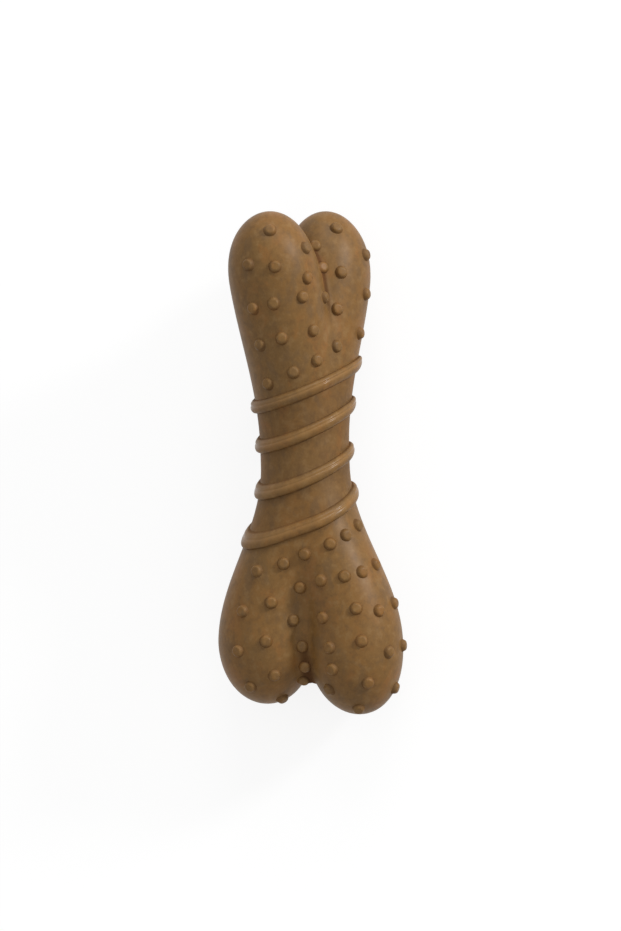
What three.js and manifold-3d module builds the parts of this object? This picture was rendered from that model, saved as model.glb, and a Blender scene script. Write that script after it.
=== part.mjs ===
// A chew bone for dogs, lying on the floor: a ribbed shaft with a pair of nubbed knuckles at each end.
// Millimetres. +X runs from the big end to the small end, +Z is up, and the origin is on the floor under the
// middle of the bone. Angles about the bone's axis are in degrees, from +Z towards -Y.
import * as THREE from "three";
import { mergeVertices } from "three/addons/utils/BufferGeometryUtils.js";
import Module from "manifold-3d";

const wasm = await Module();
wasm.setup();

// Shaft
const WAIST_RADIUS = 13.3;
const SHAFT_MARGIN = 4; // from the centre of an outer rib to the end of the shaft
const SEAM = 0.3; // gap between neighbouring solids
const CAP_POWER = 2.2; // how blunt the knuckles' caps are: 2 is a quarter of an ellipse

// Small end: its pair of knuckles is turned about the bone's axis, so one of them stands on the floor.
const SMALL_REACH = 75; // middle of the bone to the tips, on average
const SMALL_SKEW = 0.6; // how much further the right tip reaches, and how much less the left one
const SMALL_RADIUS = 14;
const SMALL_LEFT_CAP = 22.5; // length of the egg-shaped cap, from the widest place to the tip
const SMALL_RIGHT_CAP = 24;
const SMALL_SPREAD = 11.75; // bone's axis to the knuckle's axis
const SMALL_TURN = 58;
const SMALL_FLARE_START = 3.8; // where the pair begins to part
const SMALL_FLARE_END = 70; // where the pair stands fully apart
const SMALL_WEB = 0.6; // how far the skin is filled out in the crease between the knuckles of the pair
const SMALL_FOOT = 54; // station of the nub that touches the floor

// Big end: its pair lies level, so both of its knuckles stand on the floor.
const BIG_LEFT_REACH = 71.5;
const BIG_RIGHT_REACH = 75.4;
const BIG_RADIUS = 14.35;
const BIG_LEFT_CAP = 19.7;
const BIG_RIGHT_CAP = 21;
const BIG_SPREAD = 13.65;
const BIG_TURN = 0;
const BIG_FLARE_START = 0.7;
const BIG_FLARE_END = 54.5;
const BIG_WEB = 1.3;
const BIG_RIGHT_SPLAY = 0.8; // how much further the right tip leaves the bone's axis
const CORE_RADIUS = 7.5; // the core is a blunt spindle that shows as the floor of the big pair's crease
const CORE_REACH = 65.8;
const CORE_WEB = 1;
const CORE_POWER = 6;
const CORE_FADE = 4; // how steeply the core shrinks past its ends
const BIG_FOOT = 53;

// Ribs: four slanted rings. On its high side a ring reaches furthest towards the small end.
const RIBS = [
  { station: 22.6, tilt: 23.5, highSide: 130.5 },
  { station: 11.1, tilt: 26.1, highSide: 135 },
  { station: -2, tilt: 27.4, highSide: 140 },
  { station: -14.3, tilt: 29.8, highSide: 146.5 },
];
const RIB_WIDTH = 3.9;
const RIB_HEIGHT = 1.7;

// Nubs: short pins in columns along each knuckle
const NUB_RADIUS = 1.9;
const NUB_HEIGHT = 1.25;
const NUB_RIM = 0.5;
const NUB_ROOT = 3; // depth of a pin below the skin
const NUB_LEAN = 0.7; // how much a nub on a cap leans with the skin, towards the tip
const BACK_COLUMN_ANGLES = [147, 180, 213, 246]; // columns on the underside, one of them straight down
const BACK_PITCH = 11.4;
const BACK_ROWS = 5;
const NUB_CLEARANCE = 0.6; // from a nub's edge to the end of its knuckle
const CREASE_CLEARANCE = 0.2; // from a nub's centre to the plane between the knuckles of a pair

// Facets
const SKIN_SIDES = 28;
const CAP_RINGS = 6;
const FLARE_RINGS = 8;
const SHAFT_RINGS = 24;
const NUB_SIDES = 8;
const RIB_STEPS = 36;
const RIB_SIDES = 8;
const FAR = 400; // size of a block that cuts off half of space
const TINY = 1e-6;
const WELD = 1e-4; // vertices nearer to each other than this are one
const HALVINGS = 40; // steps of the search for the skin
const CREASE_ROOM = 3; // how far past a strand's own section the skin is looked for
const STEP = 0.02; // for the slope of the skin

const SMALL = {
  heading: 1,
  radius: SMALL_RADIUS,
  spread: SMALL_SPREAD,
  turn: THREE.MathUtils.degToRad(SMALL_TURN),
  flareStart: SMALL_FLARE_START,
  flareEnd: SMALL_FLARE_END,
  web: SMALL_WEB,
  foot: SMALL_FOOT,
  rib: RIBS.at(0),
};
const BIG = {
  heading: -1,
  radius: BIG_RADIUS,
  spread: BIG_SPREAD,
  turn: THREE.MathUtils.degToRad(BIG_TURN),
  flareStart: BIG_FLARE_START,
  flareEnd: BIG_FLARE_END,
  web: BIG_WEB,
  foot: BIG_FOOT,
  rib: RIBS.at(-1),
};

// A column of nubs on the upper side starts at an angle and at a distance from the tip. Its nubs are a pitch
// apart, and each one is turned by the veer from the one before.
function column(angle, first, pitch = 0, count = 1, veer = 0) {
  return Array.from({ length: count }, (_, i) => ({ angle: angle + i * veer, fromTip: first + i * pitch }));
}

const KNUCKLES = {
  small_left_knuckle: {
    end: SMALL,
    side: 1,
    reach: SMALL_REACH - SMALL_SKEW,
    cap: SMALL_LEFT_CAP,
    splay: 0,
    upperNubs: [
      column(-20.5, 16.7, 12.8, 2, -3.5),
      column(-26.5, 40.2, 11.4, 2, -1),
      column(12.3, 6.6, 10.9, 2, 2),
      column(4.5, 28.4, 10.2, 2, 0.5),
      column(10.4, 48.6),
      column(43, 26.4, 9.8, 2, 5.5),
      column(44.5, 45),
      column(66.5, 11.7, 9.1, 2, -11),
    ].flat(),
  },
  small_right_knuckle: {
    end: SMALL,
    side: -1,
    reach: SMALL_REACH + SMALL_SKEW,
    cap: SMALL_RIGHT_CAP,
    splay: 0,
    upperNubs: [
      column(-2, 11.3, 6.7, 2, 12),
      column(16, 27.2),
      column(32.5, 5.9, 13.5, 2, 2),
      column(35, 30.5, 11.2, 2, 7),
      column(80.5, 13.6, 11.8, 3, 1),
    ].flat(),
  },
  big_left_knuckle: {
    end: BIG,
    side: 1,
    reach: BIG_LEFT_REACH,
    cap: BIG_LEFT_CAP,
    splay: 0,
    upperNubs: [
      column(-19, 4.7),
      column(-24, 15.1, 11.8, 3, 4),
      column(24, 7.7),
      column(13, 17.7, 11.5, 3, 1),
      column(45.5, 24, 9.6, 2, -2),
      column(57.7, 16.2, -5.9, 2, 7),
      column(65, 1.4, 5.2, 2, 11),
    ].flat(),
  },
  big_right_knuckle: {
    end: BIG,
    side: -1,
    reach: BIG_RIGHT_REACH,
    cap: BIG_RIGHT_CAP,
    splay: BIG_RIGHT_SPLAY,
    upperNubs: [
      column(-37, 7.1),
      column(-20, 12.8, 6.4, 2),
      column(-25.5, 28.2),
      column(-13.5, 39.2, 8, 2, -7),
      column(10, 1.4),
      column(28.5, 8.6),
      column(20.7, 20.9, 9.7, 4, -1.3),
      column(57, 17.8, 12.2, 2, -8.5),
      column(43, 41.6, 11.1, 2, -0.5),
      column(90, 7.6, 12.6, 2, 1.7),
      column(82.5, 32.6, 11.5, 2, -10.5),
      column(70.5, 55.9),
    ].flat(),
  },
};

// The knuckle that the left or right strand of the bone ends in, at a station along the axis.
function knuckleAt(station, side) {
  const end = station >= 0 ? SMALL : BIG;
  return Object.values(KNUCKLES).find((k) => k.end === end && k.side === side);
}

// Raised cosine: 0 before one station, 1 after the other.
function ease(from, to, station) {
  const share = THREE.MathUtils.clamp((station - from) / (to - from), 0, 1);
  return (1 - Math.cos(Math.PI * share)) / 2;
}

// Half-thickness of a strand: the waist swells to the knuckle's widest place, and a round cap closes it.
function radiusAt(knuckle, distance) {
  const widest = knuckle.reach - knuckle.cap;
  const swell = knuckle.end.radius - WAIST_RADIUS;
  if (distance <= widest) return WAIST_RADIUS + swell * ease(knuckle.end.flareStart, widest, distance);
  const share = Math.min((distance - widest) / knuckle.cap, 1);
  return knuckle.end.radius * Math.sqrt(1 - share ** CAP_POWER);
}

// Distance from the bone's axis to the axis of a knuckle.
function spreadAt({ end, reach, cap, splay }, distance) {
  const share = THREE.MathUtils.clamp((distance - reach + cap) / cap, 0, 1);
  return end.spread * ease(end.flareStart, end.flareEnd, distance) + splay * share * share;
}

// Half-thickness of the core. It is less than nothing past the core's ends.
function coreRadius(station) {
  const share = Math.min(Math.abs(station) / CORE_REACH, 1);
  const past = Math.max(Math.abs(station) - CORE_REACH, 0);
  return CORE_RADIUS * Math.sqrt(1 - share ** CORE_POWER) - CORE_FADE * past;
}

// The bone's axis climbs from the big end to the small end, so that three nubs touch the floor.
const bigHeight = NUB_HEIGHT + radiusAt(KNUCKLES.big_right_knuckle, BIG_FOOT);
const smallDrop = spreadAt(KNUCKLES.small_right_knuckle, SMALL_FOOT) * Math.sin(SMALL.turn);
const smallHeight = NUB_HEIGHT + radiusAt(KNUCKLES.small_right_knuckle, SMALL_FOOT) + smallDrop;
const CLIMB = (smallHeight - bigHeight) / (SMALL_FOOT + BIG_FOOT);

function axisAt(station) {
  return new THREE.Vector3(station, 0, bigHeight + CLIMB * (station + BIG_FOOT));
}

// Direction square to the bone's length, at an angle from +Z towards -Y.
function outward(degrees) {
  const angle = THREE.MathUtils.degToRad(degrees);
  return new THREE.Vector3(0, -Math.sin(angle), Math.cos(angle));
}

// From the right knuckle of a pair to the left one.
function pairDirection(end) {
  return new THREE.Vector3(0, Math.cos(end.turn), Math.sin(end.turn));
}

// Centre of the left or right strand's round section at a station.
function centreAt(station, side) {
  const knuckle = knuckleAt(station, side);
  const shift = side * spreadAt(knuckle, station * knuckle.end.heading);
  return axisAt(station).addScaledVector(pairDirection(knuckle.end), shift);
}

function sectionRadius(station, side) {
  const knuckle = knuckleAt(station, side);
  return radiusAt(knuckle, station * knuckle.end.heading);
}

// The smaller of two distances, less a web where they are about the same, so that the join has no corner.
function joined(first, second, web) {
  const share = Math.max(1 - Math.abs(first - second) / (4 * web + TINY), 0);
  return Math.min(first, second) - web * share * share;
}

// Distance of a point outside the skin, in its cross-section: the two strands' round sections and the core,
// joined with webs. The strands' web starts where they part, which keeps the neck smooth.
function outsideSkin(point) {
  const { web } = knuckleAt(point.x, 1).end;
  const radii = [1, -1].map((side) => sectionRadius(point.x, side));
  const centres = [1, -1].map((side) => centreAt(point.x, side));
  const [left, right] = radii.map((radius, i) => point.distanceTo(centres[i]) - radius);
  const parted = centres[0].distanceTo(centres[1]) / 2;
  const radius = Math.max(...radii);
  const pair = joined(left, right, Math.min(web, Math.hypot(radius, parted) - radius));
  return joined(pair, point.distanceTo(axisAt(point.x)) - coreRadius(point.x), CORE_WEB);
}

// How far the skin is from a point inside it, in a direction, up to a limit.
function skinReach(origin, direction, limit) {
  let inside = 0;
  let outside = limit;
  for (let i = 0; i < HALVINGS; i += 1) {
    const middle = (inside + outside) / 2;
    const point = origin.clone().addScaledVector(direction, middle);
    if (outsideSkin(point) < 0) inside = middle;
    else outside = middle;
  }
  return inside;
}

// Direction in which the skin faces at a point on it.
function skinNormal(point) {
  const slope = ["x", "y", "z"].map((letter) => {
    const [ahead, behind] = [STEP, -STEP].map((step) => {
      const near = point.clone();
      near[letter] += step;
      return outsideSkin(near);
    });
    return ahead - behind;
  });
  return new THREE.Vector3(...slope).normalize();
}

// Normal of a rib's plane, towards the small end.
function slant({ tilt, highSide }) {
  const angle = THREE.MathUtils.degToRad(tilt);
  return new THREE.Vector3(Math.cos(angle), 0, 0).addScaledVector(outward(highSide), -Math.sin(angle));
}

// Middle of the cut between the shaft and the knuckles of an end.
function seamCentre(end) {
  return axisAt(end.rib.station + end.heading * SHAFT_MARGIN);
}

// A closed geometry as a solid that can be joined and cut.
function solidOf(geometry) {
  const bare = geometry.clone();
  bare.deleteAttribute("normal");
  bare.deleteAttribute("uv");
  const merged = mergeVertices(bare, WELD);
  return new wasm.Manifold(new wasm.Mesh({
    numProp: 3,
    vertProperties: merged.attributes.position.array,
    triVerts: new Uint32Array(merged.index.array),
  }));
}

// The half of space on the side of a plane that its normal points to.
function halfSpace(point, normal) {
  const turn = new THREE.Quaternion().setFromUnitVectors(new THREE.Vector3(1, 0, 0), normal);
  const block = new THREE.BoxGeometry(FAR, FAR, FAR).translate(FAR / 2, 0, 0).applyQuaternion(turn);
  return solidOf(block.translate(point.x, point.y, point.z));
}

// Moves every vertex of a geometry by a function of the vertex.
function reshape(geometry, move) {
  const places = geometry.attributes.position;
  const vertex = new THREE.Vector3();
  for (let i = 0; i < places.count; i += 1) {
    const moved = move(vertex.fromBufferAttribute(places, i));
    places.setXYZ(i, moved.x, moved.y, moved.z);
  }
  return geometry;
}

// A round bar of unit radius along the profile's stations, turned to lie along X.
function unitBar(profile) {
  const points = profile.map(([share, station]) => new THREE.Vector2(share, station));
  return new THREE.LatheGeometry(points, SKIN_SIDES).rotateZ(-Math.PI / 2);
}

// Stations of one half of a strand, from the middle to the tip, close together on the cap.
function halfStations(knuckle) {
  const widest = knuckle.reach - knuckle.cap;
  const stations = [];
  for (let i = 0; i < FLARE_RINGS; i += 1) {
    stations.push((widest * i) / FLARE_RINGS);
  }
  for (let i = 0; i <= CAP_RINGS; i += 1) {
    stations.push(widest + knuckle.cap * Math.sin((Math.PI / 2) * (i / CAP_RINGS)));
  }
  return stations;
}

// A strand is a round bar from a big knuckle's tip to a small knuckle's tip, bent so that it leaves its twin
// towards both ends, and filled out by the web on the side of its twin.
function strand(side) {
  const small = halfStations(knuckleAt(1, side));
  const big = halfStations(knuckleAt(-1, side));
  const stations = [...big.slice(1).reverse().map((s) => -s), ...small];
  const profile = stations.map((station) => [1, station]);
  profile.at(0)[0] = 0;
  profile.at(-1)[0] = 0;
  const bar = unitBar(profile);
  return solidOf(reshape(bar, (vertex) => {
    const centre = centreAt(vertex.x, side);
    const spoke = new THREE.Vector3(0, vertex.y, vertex.z);
    const limit = sectionRadius(vertex.x, side) + CREASE_ROOM;
    return centre.addScaledVector(spoke, skinReach(centre, spoke, limit));
  }));
}

// The shaft is the bone's skin round its axis, cut off along the ribs' slant.
function shaft() {
  const from = -BIG.foot;
  const to = SMALL.foot;
  const profile = [[0, from]];
  for (let i = 0; i <= SHAFT_RINGS; i += 1) {
    profile.push([1, from + ((to - from) * i) / SHAFT_RINGS]);
  }
  profile.push([0, to]);
  const bar = reshape(unitBar(profile), (vertex) => {
    const axis = axisAt(vertex.x);
    const spoke = new THREE.Vector3(0, vertex.y, vertex.z);
    return spoke.length() < TINY ? axis : axis.addScaledVector(spoke, skinReach(axis, spoke, FAR));
  });
  const smallCut = halfSpace(seamCentre(SMALL), slant(SMALL.rib).negate());
  const bigCut = halfSpace(seamCentre(BIG), slant(BIG.rib));
  return solidOf(bar).intersect(smallCut).intersect(bigCut);
}

// Distance of a point from the plane where a knuckle meets the shaft, positive on the knuckle.
function pastSeam(end, point) {
  return point.clone().sub(seamCentre(end)).dot(slant(end.rib)) * end.heading;
}

// Normal of the plane between the knuckles of a pair, which holds the climbing axis.
function creaseNormal(end) {
  const along = axisAt(1).sub(axisAt(0)).normalize();
  const across = pairDirection(end);
  return across.addScaledVector(along, -across.dot(along)).normalize();
}

// Where the skin of a knuckle is, in a direction from its axis.
function skinPoint({ end, side, reach }, angle, fromTip) {
  const station = (reach - fromTip) * end.heading;
  const centre = centreAt(station, side);
  const way = outward(angle);
  return centre.addScaledVector(way, skinReach(centre, way, sectionRadius(station, side) + CREASE_ROOM));
}

// The nubs that were placed one by one. Each points along the skin's normal, but square to the bone's length
// where the knuckle is still widening.
function upperNubs(knuckle) {
  const { heading } = knuckle.end;
  return knuckle.upperNubs.map(({ angle, fromTip }) => {
    const skin = skinPoint(knuckle, angle, fromTip);
    const way = skinNormal(skin);
    way.x = heading * NUB_LEAN * Math.max(heading * way.x, 0);
    return { skin, way: way.normalize() };
  });
}

// The nubs of the underside, in rows from the floor nub, where they are clear of the knuckle's edges.
function lowerNubs(knuckle) {
  const { end, side, reach } = knuckle;
  const places = [];
  for (const angle of BACK_COLUMN_ANGLES) {
    for (let row = 0; row < BACK_ROWS; row += 1) {
      const distance = end.foot + (1 - row) * BACK_PITCH;
      const skin = skinPoint(knuckle, angle, reach - distance);
      const clearOfTip = radiusAt(knuckle, distance) > 2 * NUB_RADIUS;
      const clearOfSeam = pastSeam(end, skin) > NUB_RADIUS + NUB_CLEARANCE;
      const clearOfCrease = skin.clone().sub(axisAt(0)).dot(creaseNormal(end)) * side > CREASE_CLEARANCE;
      if (clearOfTip && clearOfSeam && clearOfCrease) places.push({ skin, way: outward(angle) });
    }
  }
  return places;
}

// A short pin with a chamfered rim, from below the skin to the nub's flat top.
function nub({ way, skin }) {
  const profile = [
    [0, -NUB_ROOT],
    [NUB_RADIUS, -NUB_ROOT],
    [NUB_RADIUS, NUB_HEIGHT - NUB_RIM],
    [NUB_RADIUS - NUB_RIM, NUB_HEIGHT],
    [0, NUB_HEIGHT],
  ];
  const points = profile.map(([radius, height]) => new THREE.Vector2(radius, height));
  const turn = new THREE.Quaternion().setFromUnitVectors(new THREE.Vector3(0, 1, 0), way);
  const pin = new THREE.LatheGeometry(points, NUB_SIDES).applyQuaternion(turn);
  return solidOf(pin.translate(skin.x, skin.y, skin.z));
}

// The end of a strand beyond the shaft, on its own side of the crease, with its nubs.
function knuckleSolid(knuckle) {
  const { end, side } = knuckle;
  let body = strand(side);
  for (const place of [...upperNubs(knuckle), ...lowerNubs(knuckle)]) {
    body = body.add(nub(place));
  }
  const away = slant(end.rib).multiplyScalar(end.heading);
  const apart = creaseNormal(end).multiplyScalar(side);
  const beyondShaft = halfSpace(seamCentre(end).addScaledVector(away, SEAM), away);
  const ownSide = halfSpace(axisAt(0).addScaledVector(apart, SEAM / 2), apart);
  return body.intersect(beyondShaft).intersect(ownSide);
}

// A half-round ring that lies in a slanted plane and seats on the shaft all the way round.
function ribSolid(rib) {
  const normal = slant(rib);
  const turn = new THREE.Quaternion().setFromUnitVectors(new THREE.Vector3(0, 0, 1), normal);
  const ringRadius = 2;
  const ring = new THREE.TorusGeometry(ringRadius, 1, RIB_SIDES, RIB_STEPS);
  return solidOf(reshape(ring, (vertex) => {
    const spoke = new THREE.Vector3(vertex.x, vertex.y, 0);
    const rise = Math.max(spoke.length() - ringRadius, 0);
    const origin = axisAt(rib.station).addScaledVector(normal, vertex.z * (RIB_WIDTH / 2));
    const direction = spoke.normalize().applyQuaternion(turn);
    const height = SEAM + rise * (RIB_HEIGHT - SEAM);
    return origin.addScaledVector(direction, skinReach(origin, direction, FAR) + height);
  }));
}

const nylon = new THREE.MeshStandardMaterial({ color: 0x8a6036, roughness: 0.4, metalness: 0 });

// A named part from a solid.
function partOf(name, solid) {
  const { vertProperties, triVerts } = solid.getMesh();
  const geometry = new THREE.BufferGeometry();
  geometry.setAttribute("position", new THREE.BufferAttribute(vertProperties, 3));
  geometry.setIndex(new THREE.BufferAttribute(triVerts, 1));
  geometry.computeVertexNormals();
  const part = new THREE.Mesh(geometry, nylon);
  part.name = name;
  return part;
}

const bone = new THREE.Group();
bone.add(partOf("shaft", shaft()));
for (const [name, knuckle] of Object.entries(KNUCKLES)) {
  bone.add(partOf(name, knuckleSolid(knuckle)));
}
RIBS.forEach((rib, i) => bone.add(partOf(`rib_${i + 1}`, ribSolid(rib))));

export default bone;
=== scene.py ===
"""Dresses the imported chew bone: a smooth moulded skin in five pieces, four half-round ribs, and nubs.

Lengths in the shape's own values are millimetres, and the meshes are metres. +X runs from the big end
to the small end, and +Z is up. Angles about the bone's axis are in degrees, from +Z towards -Y.
"""
import math

import bpy
import numpy as np
from mathutils import Matrix, Vector


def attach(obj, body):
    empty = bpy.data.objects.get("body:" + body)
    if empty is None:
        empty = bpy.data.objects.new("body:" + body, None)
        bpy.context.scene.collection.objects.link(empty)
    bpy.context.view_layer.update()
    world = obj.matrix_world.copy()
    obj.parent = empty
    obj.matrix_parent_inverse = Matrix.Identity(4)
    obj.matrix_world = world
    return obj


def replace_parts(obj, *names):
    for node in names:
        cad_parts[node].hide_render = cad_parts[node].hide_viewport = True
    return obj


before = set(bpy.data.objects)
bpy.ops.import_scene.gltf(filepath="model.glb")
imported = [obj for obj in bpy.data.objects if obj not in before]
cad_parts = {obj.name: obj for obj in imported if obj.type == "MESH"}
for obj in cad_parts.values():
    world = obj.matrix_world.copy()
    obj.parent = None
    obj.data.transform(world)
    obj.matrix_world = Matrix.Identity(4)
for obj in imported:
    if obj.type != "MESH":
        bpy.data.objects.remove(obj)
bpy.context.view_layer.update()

MM = 0.001

# Ribs: four slanted rings, from the small end on. A ring reaches furthest that way on its high side.
RIBS = (
    {"station": 22.6, "tilt": 23.5, "high_side": 130.5},
    {"station": 11.1, "tilt": 26.1, "high_side": 135},
    {"station": -2, "tilt": 27.4, "high_side": 140},
    {"station": -14.3, "tilt": 29.8, "high_side": 146.5},
)
RIB_WIDTH = 3.9
RIB_HEIGHT = 1.7
RIB_POWER = 2.3  # how blunt the bead is: 2 is half an ellipse
RIB_ROOT = 0.3  # width of the fillet at the bead's feet
RIB_SKIRT = np.array([0.08, 0.2, 0.35, 0.55, 0.8])  # rows past the bead's edges
RIB_SKIRT_FALL = 6  # how steeply the bead drops there, below the fillet
RIB_DEPTH = 0.8  # from the skin down to the bead's hidden underside
RIB_GROOVE = {"place": 0.6, "width": 0.3, "depth": 0.19}
# A bead's crest is paler: partly its own tone, partly painted highlight on its side towards the small end
# and the lamps
RIB_CREST = {"place": 0.5, "width": 0.9}
# Painted shade in the corners at a bead's feet
RIB_FOOT_SHADE = {"place": 0.05, "width": 0.35, "depth": 0.7}
RIB_CREST_ROWS = slice(24, 34)
RIB_UNDER_STEP = 8  # the hidden underside has a row for every so many rows above it

# The skin: a waist that parts into two knuckles at each end, and a core in the crease of the big pair
WAIST_RADIUS = 13.3
CAP_POWER = 2.2  # how blunt the knuckles' caps are: 2 is a quarter of an ellipse
CORE_RADIUS = 7.5
CORE_REACH = 65.8
CORE_POWER = 6
CORE_FADE = 4  # how steeply the core shrinks past its ends
CORE_WEB = 1
# Each pair's shade is painted shade along its crease, growing towards the tips.
SMALL = {
    "heading": 1, "radius": 14, "spread": 11.75, "turn": 58, "flare": (3.8, 70), "web": 0.6, "foot": 54,
    "rib": RIBS[0], "shade": {"depth": 0.9, "width": 1.1, "span": (34, 54)},
}
BIG = {
    "heading": -1, "radius": 14.35, "spread": 13.65, "turn": 0, "flare": (0.7, 54.5), "web": 1.3, "foot": 53,
    "rib": RIBS[-1], "shade": {"depth": 1, "width": 2.2, "span": (46, 64)},
}
GRIP_SHADE = 0.28  # how much darker the grip is than the knuckles

# Nubs: short blunt pins, in columns along the knuckles
NUB_HEIGHT = 1.25
NUB_RADIUS = 1.85
NUB_POWER = 6  # how blunt a nub is
NUB_ROOT = 1  # width of the fillet at a nub's foot
NUB_LEAN = 0.7  # how much a nub on a cap leans with the skin, towards the tip
NUB_SKIRT = 1.5  # outermost ring, in nub radii
# Painted shade round a nub: the crease's shade near its foot, and a darker corner round the dome.
NUB_SHADE_SPAN = (0.7, 1.3)  # where the crease's shade fades in round a nub, in nub radii
NUB_CORNER_SHADE = {"place": 0.1, "width": 0.4, "depth": 0.5}
NUB_SEARCH = (-3, 2.5)  # where the skin is looked for along a nub's line
NUB_BASE = 1.2  # from the outermost ring down to a nub's hidden base
NUB_TOP_ROWS = slice(1, 3)
BACK_COLUMN_ANGLES = (147, 180, 213, 246)  # columns on the underside
BACK_PITCH = 11.4
BACK_ROWS = 5
RIB_CLEARANCE = 1  # between a nub of the underside and the outer rib
CREASE_CLEARANCE = 0.2  # from a nub's centre to the plane between the knuckles of a pair
SINK = 0.05  # how far the edges of ribs and nubs lie under the skin

# The search for the skin and the making of meshes
SKIN_LIMIT = 3 * WAIST_RADIUS  # further from the bone's axis than any skin of the grip
CREASE_ROOM = 3  # how far past a knuckle's own section the skin is looked for
GRIP_LIMIT = 45.0  # the outer ribs lie between this station and its opposite
HALVINGS = 34
SLOPE_STEP = 0.02
TINY = 1e-6
SPECK = 1e-12
WELDS_PER_MM = 2000
WALL_COLUMNS = 7

# The photograph's view, in its own pixels
IMAGE = (621, 931)
PIXEL = 0.299  # millimetres
AXIS_PIXEL = (305.2, 462.75)  # where the middle of the bone's axis shows
VIEW_TURN = 13
VIEW_LEAN = 1.74
VIEW_DISTANCE = 6000
VIEW_CLIP = (0.05, 50)  # metres
SENSOR = 36

# Light
WORLD_LIGHT = 0.48
WHITE = (1, 1, 1, 1)
FLOOR_REACH = 40  # metres
FLOOR_GLOW = 0.86
FLOOR_SHADED = (0.2, 0.2, 0.2, 1)
FLOOR_BOUNCE = (0.58, 0.42, 0.29, 1)
BACKGROUND_RAYS = ("Is Camera Ray", "Is Glossy Ray", "Is Transmission Ray")


def column(angle, first, pitch=0, count=1, veer=0):
    """Angles and distances from the tip of a column of nubs, a pitch apart and each turned by the veer."""
    steps = np.arange(count)
    return np.stack([angle + steps * veer, first + steps * pitch], -1)


KNUCKLES = {
    "small_left_knuckle": {
        "end": SMALL, "side": 1, "reach": 74.4, "cap": 22.5, "splay": 0, "upper": [
            column(-20.5, 16.7, 12.8, 2, -3.5), column(-26.5, 40.2, 11.4, 2, -1),
            column(12.3, 6.6, 10.9, 2, 2), column(4.5, 28.4, 10.2, 2, 0.5), column(10.4, 48.6),
            column(43, 26.4, 9.8, 2, 5.5), column(44.5, 45), column(66.5, 11.7, 9.1, 2, -11),
        ],
    },
    "small_right_knuckle": {
        "end": SMALL, "side": -1, "reach": 75.6, "cap": 24, "splay": 0, "upper": [
            column(-2, 11.3, 6.7, 2, 12), column(16, 27.2), column(32.5, 5.9, 13.5, 2, 2),
            column(35, 30.5, 11.2, 2, 7), column(80.5, 13.6, 11.8, 3, 1),
        ],
    },
    "big_left_knuckle": {
        "end": BIG, "side": 1, "reach": 71.5, "cap": 19.7, "splay": 0, "upper": [
            column(-19, 4.7), column(-24, 15.1, 11.8, 3, 4), column(24, 7.7),
            column(13, 17.7, 11.5, 3, 1), column(45.5, 24, 9.6, 2, -2), column(57.7, 16.2, -5.9, 2, 7),
            column(65, 1.4, 5.2, 2, 11),
        ],
    },
    "big_right_knuckle": {
        "end": BIG, "side": -1, "reach": 75.4, "cap": 21, "splay": 0.8, "upper": [
            column(-37, 7.1), column(-20, 12.8, 6.4, 2), column(-25.5, 28.2),
            column(-13.5, 39.2, 8, 2, -7), column(10, 1.4), column(28.5, 8.6),
            column(20.7, 20.9, 9.7, 4, -1.3), column(57, 17.8, 12.2, 2, -8.5),
            column(43, 41.6, 11.1, 2, -0.5), column(90, 7.6, 12.6, 2, 1.7),
            column(82.5, 32.6, 11.5, 2, -10.5), column(70.5, 55.9),
        ],
    },
}


def ease(start, stop, x):
    """Raised cosine: 0 before start, 1 after stop."""
    return (1 - np.cos(np.pi * np.clip((x - start) / (stop - start), 0, 1))) / 2


def bell(x, place, width):
    """Bell curve of height 1: the exponential of minus the square of the distance from a place in widths."""
    return np.exp(-((x - place) / width) ** 2)


def smooth_max(a, b, blend):
    """The larger of two heights, with a parabola of the given width where they cross."""
    return np.maximum(a, b) + np.maximum(blend - np.abs(a - b), 0) ** 2 / (4 * blend)


def length_of(vectors):
    """Lengths of the vectors in an array's last axis: the root of their squares' sum."""
    return np.sqrt((vectors * vectors).sum(-1))


def radius_at(knuckle, distance):
    """Half-thickness of a strand at a distance from the middle of the bone.

    The waist swells by a raised cosine, then a blunt quarter of an egg closes the tip.
    """
    end, cap = knuckle["end"], knuckle["cap"]
    widest = knuckle["reach"] - cap
    flare = WAIST_RADIUS + (end["radius"] - WAIST_RADIUS) * ease(end["flare"][0], widest, distance)
    share = np.clip((distance - widest) / cap, 0, 1)
    return np.where(distance <= widest, flare, end["radius"] * np.sqrt(1 - share ** CAP_POWER))


def spread_at(knuckle, distance):
    """From the bone's axis to a knuckle's axis: a raised cosine, then a parabola that splays the tip."""
    end, cap = knuckle["end"], knuckle["cap"]
    share = np.clip((distance - knuckle["reach"] + cap) / cap, 0, 1)
    return end["spread"] * ease(*end["flare"], distance) + knuckle["splay"] * share * share


def foot_height(name):
    """Height of the bone's axis over a knuckle's foot nub, when that nub stands on the floor.

    It is the nub's height, the knuckle's half-thickness and the drop of the turned knuckle's axis.
    """
    knuckle = KNUCKLES[name]
    end = knuckle["end"]
    drop = spread_at(knuckle, end["foot"]) * math.sin(math.radians(end["turn"]))
    return float(NUB_HEIGHT + radius_at(knuckle, end["foot"]) + drop)


BIG_FOOT_HEIGHT = foot_height("big_right_knuckle")
CLIMB = (foot_height("small_right_knuckle") - BIG_FOOT_HEIGHT) / (SMALL["foot"] + BIG["foot"])
AXIS_HEIGHT = BIG_FOOT_HEIGHT + CLIMB * BIG["foot"]


def axis_at(x):
    """Point of the bone's axis at station x. The axis climbs evenly from the big end to the small one."""
    x = np.asarray(x, float)
    return np.stack([x, 0 * x, AXIS_HEIGHT + CLIMB * x], -1)


def outward(degrees):
    """Direction square to the bone's length, at an angle from +Z towards -Y."""
    angle = np.radians(degrees)
    return np.stack([0 * angle, -np.sin(angle), np.cos(angle)], -1)


def across(end):
    """Direction from the right knuckle of a pair to the left one: +Y, turned by the pair's turn."""
    turn = math.radians(end["turn"])
    return np.array([0, math.cos(turn), math.sin(turn)])


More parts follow.
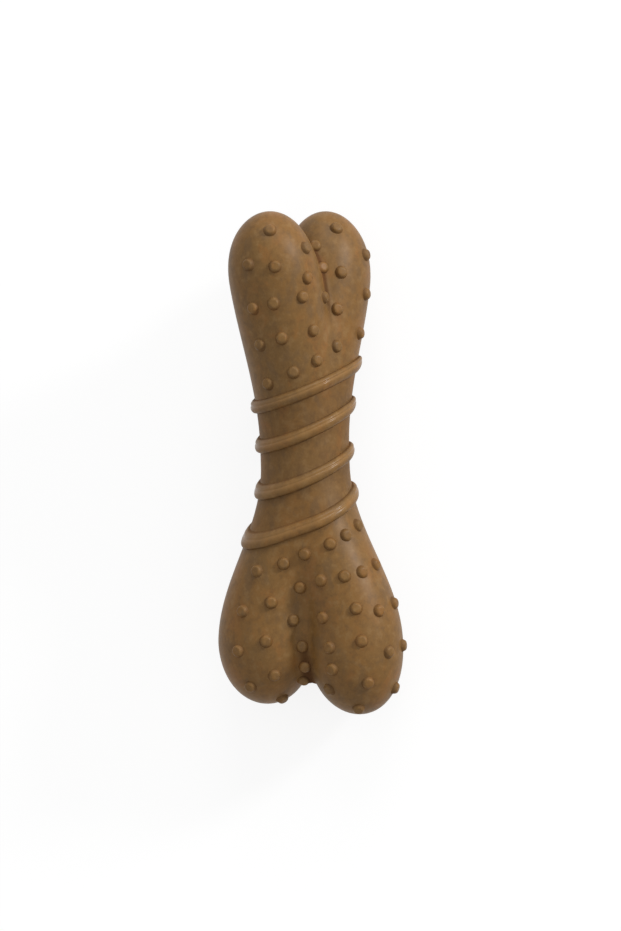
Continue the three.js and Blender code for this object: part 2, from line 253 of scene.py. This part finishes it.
def slant(rib):
    """Normal of a rib's plane, towards the small end: +X, tilted away from the rib's high side."""
    tilt = math.radians(rib["tilt"])
    return math.cos(tilt) * np.array([1.0, 0, 0]) - math.sin(tilt) * outward(rib["high_side"])


def seam_distance(points, rib):
    """Distance of points from the slanted plane of a rib, towards the small end."""
    return (points - axis_at(rib["station"])) @ slant(rib)


def knuckle_at(end, side):
    """The knuckle of a pair that lies on a side: 1 is left, -1 is right."""
    return next(k for k in KNUCKLES.values() if k["end"] is end and k["side"] == side)


def strand(x, side):
    """Centre and half-thickness of the left or right strand's round section at stations x."""
    ahead = x >= 0
    small, big = knuckle_at(SMALL, side), knuckle_at(BIG, side)
    radius = np.where(ahead, radius_at(small, x), radius_at(big, -x))
    shift = side * np.where(ahead, spread_at(small, x), spread_at(big, -x))
    way = np.where(ahead[..., None], across(SMALL), across(BIG))
    return axis_at(x) + shift[..., None] * way, radius


def joined(first, second, web):
    """The smaller of two distances, less a web: a quadratic bump in their difference, with no corner."""
    share = np.maximum(1 - np.abs(first - second) / (4 * web + TINY), 0)
    return np.minimum(first, second) - web * share * share


def core_radius(x):
    """Half-thickness of the core, a blunt spindle: a root of 1 less a power of the share of its reach."""
    share = np.minimum(np.abs(x) / CORE_REACH, 1)
    past = np.maximum(np.abs(x) - CORE_REACH, 0)
    return CORE_RADIUS * np.sqrt(1 - share ** CORE_POWER) - CORE_FADE * past


def skin_gap(points):
    """Distance outside the skin: two round sections and the core between them, joined with webs."""
    x = points[..., 0]
    (left_centre, left_radius), (right_centre, right_radius) = strand(x, 1), strand(x, -1)
    left = length_of(points - left_centre) - left_radius
    right = length_of(points - right_centre) - right_radius
    parted = length_of(left_centre - right_centre) / 2
    radius = np.maximum(left_radius, right_radius)
    web = np.where(x >= 0, SMALL["web"], BIG["web"])
    pair = joined(left, right, np.minimum(web, np.hypot(radius, parted) - radius))
    return joined(pair, length_of(points - axis_at(x)) - core_radius(x), CORE_WEB)


def skin_reach(origin, way, limit):
    """How far the skin is from points inside it, along a direction, by halving the range up to a limit."""
    inside = np.zeros(np.broadcast_shapes(origin.shape, way.shape)[:-1])
    outside = inside + limit
    for _ in range(HALVINGS):
        middle = (inside + outside) / 2
        within = skin_gap(origin + middle[..., None] * way) < 0
        inside = np.where(within, middle, inside)
        outside = np.where(within, outside, middle)
    return inside


def skin_normal(points):
    """Unit gradient of the distance outside the skin, by central differences."""
    shifts = np.eye(3) * SLOPE_STEP
    slope = np.stack([skin_gap(points + s) - skin_gap(points - s) for s in shifts], -1)
    return slope / np.maximum(length_of(slope), TINY)[..., None]


def crossing(point_at, distance_at, low, high):
    """Where a rising function of a curve's point is zero, for whole arrays, by halving the range."""
    for _ in range(HALVINGS):
        middle = (low + high) / 2
        before = distance_at(point_at(middle)) < 0
        low, high = np.where(before, middle, low), np.where(before, high, middle)
    return (low + high) / 2


def quads_of(rows, columns, start):
    """Corner numbers of the quads of a grid whose points are numbered row by row from start."""
    corner = start + np.arange(rows * columns).reshape(rows, columns)
    around = [corner[:-1, :-1], corner[1:, :-1], corner[1:, 1:], corner[:-1, 1:]]
    return np.stack(around, -1).reshape(-1, 4)


def piece_of(name, grids, finish, shade_and_crest):
    """A piece from grids of points and normals, welded where points meet, with faces along the normals.

    Each grid is (points, normals), both rows by columns by 3. A quad whose corners weld becomes a
    triangle. The marks of painted shade, paler crest and darker grip have a number for each point of each
    grid.
    """
    points, normals, quads = [], [], []
    count = 0
    for places, ways in grids:
        rows, columns = places.shape[:2]
        faces = quads_of(rows, columns, count)
        flat, facing = places.reshape(-1, 3), np.broadcast_to(ways, places.shape).reshape(-1, 3)
        local = faces - count
        one, other = flat[local[:, 2]] - flat[local[:, 0]], flat[local[:, 3]] - flat[local[:, 1]]
        if (np.cross(one, other) * facing[local].mean(1)).sum() < 0:
            faces = faces[:, ::-1]
        points.append(flat)
        normals.append(facing)
        quads.append(faces)
        count += rows * columns
    points, normals, quads = np.concatenate(points), np.concatenate(normals), np.concatenate(quads)
    _, first, welded = np.unique(
        np.round(points * WELDS_PER_MM), axis=0, return_index=True, return_inverse=True)
    corners = welded.reshape(-1)[quads]
    keep = corners != np.roll(corners, 1, 1)
    sides = keep.sum(1)
    whole = sides >= 3
    keep &= whole[:, None]
    loops, loop_normals = corners[keep], normals[quads[keep]]
    totals = sides[whole]
    mesh = bpy.data.meshes.new(name)
    mesh.vertices.add(len(first))
    mesh.vertices.foreach_set("co", (points[first] * MM).astype(np.float32).ravel())
    mesh.loops.add(len(loops))
    mesh.loops.foreach_set("vertex_index", loops.astype(np.int32))
    mesh.polygons.add(len(totals))
    mesh.polygons.foreach_set("loop_start", (np.cumsum(totals) - totals).astype(np.int32))
    mesh.polygons.foreach_set("use_smooth", np.ones(len(totals), bool))
    mesh.update(calc_edges=True)
    mesh.normals_split_custom_set(loop_normals.tolist())
    values = np.concatenate([part.ravel() for part in shade_and_crest])[first]
    layer = mesh.attributes.new("shade_and_crest", "FLOAT", "POINT")
    layer.data.foreach_set("value", values.astype(np.float32))
    mesh.materials.append(finish)
    piece = bpy.data.objects.new(name, mesh)
    bpy.context.scene.collection.objects.link(piece)
    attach(piece, "root")
    return piece


def facing_out(points, way, rows):
    """Unit normals of a grid, square to its rows and columns.

    All of them are flipped if those of some rows point against the given way.
    """
    square = np.cross(np.gradient(points, axis=-3), np.gradient(points, axis=-2))
    facing = square / np.maximum(length_of(square), SPECK)[..., None]
    return facing * np.sign((facing * way)[rows].sum())


def crease_shade(end, points):
    """Painted shade of points of the skin in their pair's crease, from 0 to 1.

    It is a bell over the distance from the crease's plane, and grows towards the tips by a raised cosine.
    """
    shade = end["shade"]
    x = points[..., 0]
    apart = (points - axis_at(x)) @ across(end)
    towards_tip = ease(*shade["span"], end["heading"] * x)
    return shade["depth"] * bell(apart, 0, shade["width"]) * towards_tip


def knuckle_point(knuckle, distance, turn):
    """Point of a knuckle's skin at a distance from the middle of the bone, for a turn from 0 to 1.

    The turn goes round the knuckle's centre from the crease back to the crease, on the knuckle's side.
    """
    end, side = knuckle["end"], knuckle["side"]
    x = end["heading"] * distance
    inward = -side * across(end)
    upright = np.cross([1.0, 0, 0], inward)
    parted = spread_at(knuckle, distance)
    axis = axis_at(x)
    crease = np.where(skin_gap(axis) < 0, skin_reach(axis, upright, 2 * end["radius"]), 0)
    start = np.arctan2(crease, parted)
    angle = start + turn * (2 * np.pi - 2 * start)
    way = np.cos(angle)[..., None] * inward + np.sin(angle)[..., None] * upright
    centre, radius = strand(x, side)
    limit = np.maximum(radius + end["web"], np.hypot(parted, crease) + TINY)
    return centre + skin_reach(centre, way, limit)[..., None] * way


def lid_over(rim):
    """A flat lid: the rim's points, each joined to their mean."""
    return np.stack([rim, np.broadcast_to(rim.mean(0), rim.shape)])


def knuckle_skin(knuckle, flare_rows=90, cap_rows=64, columns=240):
    """A knuckle's skin from the outer rib's plane to the tip, with flat walls where it meets its neighbours.

    Rows are evenly spaced along the flare and by the sine of an even angle along the cap. Columns go round.
    """
    end = knuckle["end"]
    widest = knuckle["reach"] - knuckle["cap"]
    turn = np.linspace(0, 1, columns + 1)
    start = crossing(lambda distance: knuckle_point(knuckle, distance, turn),
                     lambda points: end["heading"] * seam_distance(points, end["rib"]),
                     np.zeros_like(turn), np.full_like(turn, widest))
    flare = start + (widest - start) * np.linspace(0, 1, flare_rows, endpoint=False)[:, None]
    rise = np.sin(np.linspace(0, np.pi / 2, cap_rows + 1))
    cap = widest + knuckle["cap"] * np.outer(rise, np.ones_like(turn))
    skin = knuckle_point(knuckle, np.concatenate([flare, cap]), turn)
    share = np.linspace(0, 1, WALL_COLUMNS)[None, :, None]
    wall = skin[:, :1] + (skin[:, -1:] - skin[:, :1]) * share
    lid = lid_over(np.concatenate([skin[0], wall[0, ::-1]]))
    grids = [(skin, skin_normal(skin)), (wall, -knuckle["side"] * across(end)),
             (lid, -end["heading"] * slant(end["rib"]))]
    # Painted shade along the crease, on the skin, its wall and its lid.
    return grids, [-crease_shade(end, points) for points, _ in grids]


def shaft_skin(rows=120, columns=260):
    """The grip's skin between the planes of the outer ribs, closed by a flat lid at each end.

    It is a little darker than the knuckles, so its marks are below 0 all over.
    """
    way = outward(np.linspace(0, 360, columns + 1))

    def point_at(x):
        """Point of the skin straight out from the axis at station x."""
        axis = axis_at(x)
        return axis + skin_reach(axis, way, SKIN_LIMIT)[..., None] * way

    low, high = np.full(columns + 1, -GRIP_LIMIT), np.full(columns + 1, GRIP_LIMIT)
    first = crossing(point_at, lambda points: seam_distance(points, BIG["rib"]), low, high)
    last = crossing(point_at, lambda points: seam_distance(points, SMALL["rib"]), low, high)
    skin = point_at(first + (last - first) * np.linspace(0, 1, rows + 1)[:, None])
    grids = [(skin, skin_normal(skin)), (lid_over(skin[0]), -slant(BIG["rib"])),
             (lid_over(skin[-1]), slant(SMALL["rib"]))]
    return grids, [np.full(points.shape[:2], -GRIP_SHADE) for points, _ in grids]


def rib_bead(rib, arc_rows=49, around=420):
    """A bead in a slanted plane: half a blunt ellipse above the skin, with a faint groove near its top.

    Its height over the skin is the smooth maximum of the bead and a level just below the skin. Its marks are
    below 0 for painted shade in the corners at its feet, and 1 on its crest, which is paler partly in the
    bead's own tone and partly as painted highlight. Both are bells over the place across the bead.
    """
    half = RIB_WIDTH / 2
    arc = half * np.sin(np.linspace(-np.pi / 2, np.pi / 2, arc_rows))
    place = np.concatenate([-half - RIB_SKIRT[::-1], arc, half + RIB_SKIRT])
    past = np.abs(place) - half
    inside = np.clip(1 - np.abs(place / half) ** RIB_POWER, 0, 1)
    lift = np.where(np.abs(place) <= half, RIB_HEIGHT * np.sqrt(inside), -past * RIB_SKIRT_FALL)
    lift = lift - RIB_GROOVE["depth"] * bell(place, RIB_GROOVE["place"], RIB_GROOVE["width"])
    lift = smooth_max(lift, np.full_like(place, -SINK), RIB_ROOT)
    # Painted shade at the bead's feet; the paler crest is partly painted highlight
    shade_and_crest = (bell(place, RIB_CREST["place"], RIB_CREST["width"])
              - RIB_FOOT_SHADE["depth"] * bell(past, RIB_FOOT_SHADE["place"], RIB_FOOT_SHADE["width"]))
    under = place[::-1][::RIB_UNDER_STEP]
    place = np.concatenate([place, under, place[:1]])
    lift = np.concatenate([lift, np.full(len(under), -RIB_DEPTH), lift[:1]])
    shade_and_crest = np.concatenate([shade_and_crest, np.zeros(len(under) + 1)])
    turn = np.linspace(0, 2 * np.pi, around + 1)[:, None]
    normal = slant(rib)
    level = np.cross(normal, [0, 1.0, 0])
    level /= length_of(level)
    way = np.cos(turn) * level + np.sin(turn) * np.cross(normal, level)
    origin = axis_at(rib["station"]) + place[:, None, None] * normal
    ring = origin + (skin_reach(origin, way, SKIN_LIMIT) + lift[:, None])[..., None] * way
    return ring, np.broadcast_to(shade_and_crest[:, None], ring.shape[:2])


def nub_places(knuckle):
    """Skin points and pointing directions of a knuckle's nubs.

    An upper nub points along the skin's normal, but square to the bone's length on the flare. The nubs of
    the underside point straight out, and only those clear of the rib, the crease and the tip are kept.
    """
    end, side, reach = knuckle["end"], knuckle["side"], knuckle["reach"]
    heading = end["heading"]
    upper = np.concatenate(knuckle["upper"])
    rows = end["foot"] + (1 - np.arange(BACK_ROWS)) * BACK_PITCH
    under = np.stack(np.meshgrid(BACK_COLUMN_ANGLES, reach - rows), -1).reshape(-1, 2)
    angle, from_tip = np.concatenate([upper, under]).T
    way = outward(angle)
    centre, radius = strand(heading * (reach - from_tip), side)
    skin = centre + skin_reach(centre, way, radius + CREASE_ROOM)[..., None] * way
    rib_room = RIB_WIDTH / 2 + NUB_RADIUS + RIB_CLEARANCE
    clear_of_rib = heading * seam_distance(skin, end["rib"]) > rib_room
    clear_of_crease = side * ((skin - axis_at(0)) @ across(end)) > CREASE_CLEARANCE
    clear_of_tip = radius > 2 * NUB_RADIUS
    is_upper = np.arange(len(skin)) < len(upper)
    normal = skin_normal(skin)
    normal[:, 0] = heading * NUB_LEAN * np.maximum(heading * normal[:, 0], 0)
    way = np.where(is_upper[:, None], normal / length_of(normal)[:, None], way)
    kept = is_upper | (clear_of_rib & clear_of_crease & clear_of_tip)
    return skin[kept], way[kept]


def nubs(knuckle, rings=28, around=32):
    """A knuckle's nubs, each a grid of rings: a blunt dome that runs into the skin through a root fillet.

    The dome's height falls with a power of the distance from its own line, and the skin's height is found
    along that line. A ring's height is the smooth maximum of both, so the root follows the skin. Its marks
    are below 0 for painted shade: in the corner round the dome, as a bell over that distance, and in the
    crease round its foot.
    """
    skin, way = nub_places(knuckle)
    ring = NUB_SKIRT * NUB_RADIUS * np.linspace(0, 1, rings)
    dome = NUB_HEIGHT * (1 - (ring / NUB_RADIUS) ** NUB_POWER)
    turn = np.linspace(0, 2 * np.pi, around + 1)[:, None]
    lengthwise = np.array([1.0, 0, 0]) - way[:, :1] * way
    lengthwise /= length_of(lengthwise)[:, None]
    sideways = np.cross(way, lengthwise)
    foot, line, lengthwise, sideways = (
        vectors[:, None, None, :] for vectors in (skin, way, lengthwise, sideways))
    flat = ring[:, None, None] * (np.cos(turn) * lengthwise + np.sin(turn) * sideways)
    low, high = NUB_SEARCH
    ground = skin_reach(foot + flat + low * line, line, high - low) + low
    height = smooth_max(np.broadcast_to(dome[:, None], ground.shape), ground - SINK, NUB_ROOT)
    shell = foot + flat + height[..., None] * line
    base = shell[:, -1:] - NUB_BASE * line
    middle = np.broadcast_to(base.mean(2, keepdims=True), base.shape)
    shells = np.concatenate([shell, base, middle], 1)
    hidden = [0, 0]
    # Painted shade in the corner round the dome's foot
    corner = bell(ring - NUB_RADIUS, NUB_CORNER_SHADE["place"], NUB_CORNER_SHADE["width"])
    round_foot = ease(*(NUB_RADIUS * np.array(NUB_SHADE_SPAN)), ring)
    corner, round_foot = (np.concatenate([rows, hidden])[:, None] for rows in (corner, round_foot))
    # Painted shade of the crease, faded in round the foot
    shade = round_foot * crease_shade(knuckle["end"], shells)
    return shells, way, -NUB_CORNER_SHADE["depth"] * corner - shade


class Wire:
    """A socket in a finish. Arithmetic on it adds Math nodes."""

    def __init__(self, finish, socket):
        self.finish = finish
        self.socket = socket

    def _math(self, operation, first, second):
        return self.finish.node("ShaderNodeMath", {"operation": operation}, {0: first, 1: second})

    def __add__(self, other):
        return self._math("ADD", self, other)

    def __radd__(self, other):
        return self._math("ADD", other, self)

    def __sub__(self, other):
        return self._math("SUBTRACT", self, other)

    def __rsub__(self, other):
        return self._math("SUBTRACT", other, self)

    def __mul__(self, other):
        return self._math("MULTIPLY", self, other)

    def __rmul__(self, other):
        return self._math("MULTIPLY", other, self)


class Finish:
    """A material or world made of nodes, each from one call of node()."""

    def __init__(self, name, kind=bpy.data.materials):
        self.data = kind.new(name)
        self.data.use_nodes = True
        self.tree = self.data.node_tree
        self.tree.nodes.clear()

    def node(self, kind, settings=None, inputs=None, output=0):
        """A node of a kind, with its settings made first, then its sockets filled or linked."""
        made = self.tree.nodes.new(kind)
        for key, value in (settings or {}).items():
            setattr(made, key, value)
        for key, value in (inputs or {}).items():
            if isinstance(value, Wire):
                self.tree.links.new(value.socket, made.inputs[key])
            else:
                made.inputs[key].default_value = value
        return Wire(self, made.outputs[output]) if made.outputs else None

    def noise(self, place, size, detail=2.0, roughness=0.5, warp=0.0):
        """Noise whose patches are about a size across, in millimetres."""
        return self.node("ShaderNodeTexNoise", {}, {
            "Vector": place, "Scale": 1 / (size * MM), "Detail": detail, "Roughness": roughness,
            "Distortion": warp})

    def patches(self, value, low, high):
        """0 at low, 1 at high, smooth between them and level past them."""
        return self.node("ShaderNodeMapRange", {"interpolation_type": "SMOOTHSTEP"},
                         {"Value": value, "From Min": low, "From Max": high})

    def mix(self, share, first, second):
        """Colour mixed from first to second by a share."""
        return self.node("ShaderNodeMix", {"data_type": "RGBA"}, {0: share, 6: first, 7: second}, 2)


def rgb(red, green, blue):
    """A colour from 0 to 255 as linear light, by the standard curve of screens."""
    share = np.array([red, green, blue]) / 255
    linear = np.where(share <= 0.04045, share / 12.92, ((share + 0.055) / 1.055) ** 2.4)
    return (*(float(v) for v in linear), 1.0)


def chew_nylon():
    """Brown moulded nylon with a soft gloss: faint warmer, greyer and darker patches, a darker grip, paler
    rib crests that are partly painted highlight, and painted shade in creases and round the feet of ribs and
    nubs.

    Each tint covers a share of the colour under it where a noise passes from a low to a high value.
    """
    finish = Finish("chew_nylon")
    place = finish.node("ShaderNodeTexCoord", output="Object")
    drawn_out = finish.node("ShaderNodeMapping", {}, {"Vector": place, "Scale": (0.65, 1, 1)})
    broad = finish.noise(place, size=22, warp=0.4)
    clouds = finish.noise(drawn_out, size=5.5, detail=3, roughness=0.6, warp=0.3)
    flecks = finish.noise(place, size=2.2)
    grain = finish.noise(place, size=0.6)
    tints = (
        (0.7, clouds, 0.5, 0.68, rgb(113, 87, 56)),  # greyer
        (0.7, clouds, 0.48, 0.32, rgb(140, 97, 49)),  # warmer
        (0.48, flecks, 0.5, 0.7, rgb(107, 78, 44)),  # darker
        (0.48, flecks, 0.48, 0.28, rgb(144, 112, 70)),  # paler
        (0.15, grain, 0.52, 0.7, rgb(149, 115, 71)),  # paler
        (0.15, grain, 0.48, 0.3, rgb(100, 70, 38)),  # darker
    )
    colour = finish.mix(finish.patches(broad, 0.35, 0.65), rgb(125, 93, 51), rgb(132, 95, 49))
    for share, noise, low, high, tint in tints:
        colour = finish.mix(share * finish.patches(noise, low, high), colour, tint)
    shade_and_crest = finish.node("ShaderNodeAttribute", {"attribute_name": "shade_and_crest"}, output="Fac")
    painted_shade_and_darker_grip = finish.patches(shade_and_crest, 0, -1)
    crest = finish.patches(shade_and_crest, 0, 1)
    # Paler crest of the ribs: partly their own tone, partly painted highlight
    colour = finish.mix(0.35 * crest, colour, rgb(158, 118, 69))
    # Painted shade in the creases and round the feet of ribs and nubs, and the grip's darker tone
    colour = finish.mix(0.75 * painted_shade_and_darker_grip, colour, rgb(72, 41, 23))
    bump = finish.node("ShaderNodeBump", {}, {
        "Strength": 0.2, "Distance": 0.15 * MM, "Height": 0.8 * flecks + 0.2 * grain})
    shader = finish.node("ShaderNodeBsdfPrincipled", {}, {
        "Base Color": colour, "Roughness": 0.4 + 0.12 * clouds - 0.2 * crest + 0.5 * painted_shade_and_darker_grip,
        "Specular IOR Level": 0.22, "Normal": bump})
    finish.node("ShaderNodeOutputMaterial", {}, {"Surface": shader})
    return finish.data


def sees_background(finish):
    """1 for rays from the camera, reflections and see-through, and 0 for light that falls on the bone."""
    share = 0.0
    for title in BACKGROUND_RAYS:
        kind = finish.node("ShaderNodeLightPath", output=title)
        share = finish.node("ShaderNodeMath", {"operation": "MAXIMUM"}, {0: share, 1: kind})
    return share


def pale_floor():
    """White with the bone's shadow, also in reflections. The light that it throws on the bone is warmer."""
    finish = Finish("pale_floor")
    white = finish.node("ShaderNodeEmission", {}, {"Color": WHITE, "Strength": FLOOR_GLOW})
    shaded = finish.node("ShaderNodeBsdfDiffuse", {}, {"Color": FLOOR_SHADED})
    bright = finish.node("ShaderNodeAddShader", {}, {0: white, 1: shaded})
    bounce = finish.node("ShaderNodeBsdfDiffuse", {}, {"Color": FLOOR_BOUNCE})
    surface = finish.node("ShaderNodeMixShader", {}, {
        0: sees_background(finish), 1: bounce, 2: bright})
    finish.node("ShaderNodeOutputMaterial", {}, {"Surface": surface})
    return finish.data


def studio_world():
    """Even light from all round, white to the camera and in reflections."""
    finish = Finish("studio", bpy.data.worlds)
    strength = WORLD_LIGHT + (1 - WORLD_LIGHT) * sees_background(finish)
    surface = finish.node("ShaderNodeBackground", {}, {"Color": WHITE, "Strength": strength})
    finish.node("ShaderNodeOutputWorld", {}, {"Surface": surface})
    return finish.data


def view_directions():
    """Unit directions along the bone, level across it to the view's right, and towards the camera."""
    along = np.array([1, 0, CLIMB]) / math.hypot(1, CLIMB)
    toward = outward(VIEW_TURN)
    toward = toward - (toward @ along) * along
    toward /= length_of(toward)
    return along, np.cross(along, toward), toward


ALONG, LEVEL, TOWARD = view_directions()


def photo_camera():
    """A far camera on the photograph's viewing line, leaned so that the bone's axis tilts as it does there.

    It looks at the point that the middle of the picture shows, and its lens fits the picture's height.
    """
    lean = math.radians(VIEW_LEAN)
    up = math.cos(lean) * ALONG + math.sin(lean) * LEVEL
    right = math.cos(lean) * LEVEL - math.sin(lean) * ALONG
    target = (axis_at(0) + right * (IMAGE[0] / 2 - AXIS_PIXEL[0]) * PIXEL
              - up * (IMAGE[1] / 2 - AXIS_PIXEL[1]) * PIXEL)
    lens = bpy.data.cameras.new("camera")
    lens.sensor_width = SENSOR
    lens.lens = SENSOR * VIEW_DISTANCE / (IMAGE[1] * PIXEL)
    lens.clip_start, lens.clip_end = VIEW_CLIP
    camera = bpy.data.objects.new("camera", lens)
    turn = Matrix(np.stack([right, up, TOWARD], -1).tolist())
    place = Vector((target + TOWARD * VIEW_DISTANCE) * MM)
    camera.matrix_world = Matrix.Translation(place) @ turn.to_4x4()
    bpy.context.scene.collection.objects.link(camera)
    return camera


def softbox(name, place, size, power):
    """A square area light that faces the bone.

    Its place is in metres from the bone's middle: to the view's right, along the bone, and to the camera.
    """
    lamp = bpy.data.lights.new(name, "AREA")
    lamp.size = size
    lamp.energy = power
    box = bpy.data.objects.new(name, lamp)
    away = Vector(place[0] * LEVEL + place[1] * ALONG + place[2] * TOWARD)
    box.location = Vector(axis_at(0) * MM) + away
    box.rotation_euler = away.to_track_quat("Z", "Y").to_euler()
    bpy.context.scene.collection.objects.link(box)


def wide_floor():
    """A square floor at height 0, far wider than any view of the bone."""
    reach = FLOOR_REACH
    mesh = bpy.data.meshes.new("floor")
    mesh.from_pydata([(-reach, -reach, 0), (reach, -reach, 0), (reach, reach, 0), (-reach, reach, 0)],
                     [], [(0, 1, 2, 3)])
    mesh.materials.append(pale_floor())
    floor = bpy.data.objects.new("floor", mesh)
    bpy.context.scene.collection.objects.link(floor)
    return floor


nylon = chew_nylon()
for title, knuckle in KNUCKLES.items():
    grids, shade_and_crest = knuckle_skin(knuckle)
    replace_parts(piece_of(title + "_skin", grids, nylon, shade_and_crest), title)
    shells, ways, shade_and_crest = nubs(knuckle)
    grids = [(shell, facing_out(shell, way, NUB_TOP_ROWS)) for shell, way in zip(shells, ways)]
    piece_of(title + "_nubs", grids, nylon, shade_and_crest)
grids, shade_and_crest = shaft_skin()
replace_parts(piece_of("shaft_skin", grids, nylon, shade_and_crest), "shaft")
for number, rib in enumerate(RIBS, 1):
    ring, shade_and_crest = rib_bead(rib)
    facing = facing_out(ring, ring - axis_at(rib["station"]), RIB_CREST_ROWS)
    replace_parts(piece_of(f"rib_{number}_bead", [(ring, facing)], nylon, [shade_and_crest]), f"rib_{number}")

softbox("top", place=(0.2, 2.6, 1.2), size=1.4, power=24)
softbox("key", place=(2.2, 1.45, 1.25), size=0.45, power=48)
floor = wide_floor()
bpy.context.scene.world = studio_world()
bpy.context.scene.camera = photo_camera()
bpy.context.scene.view_settings.view_transform = "Standard"
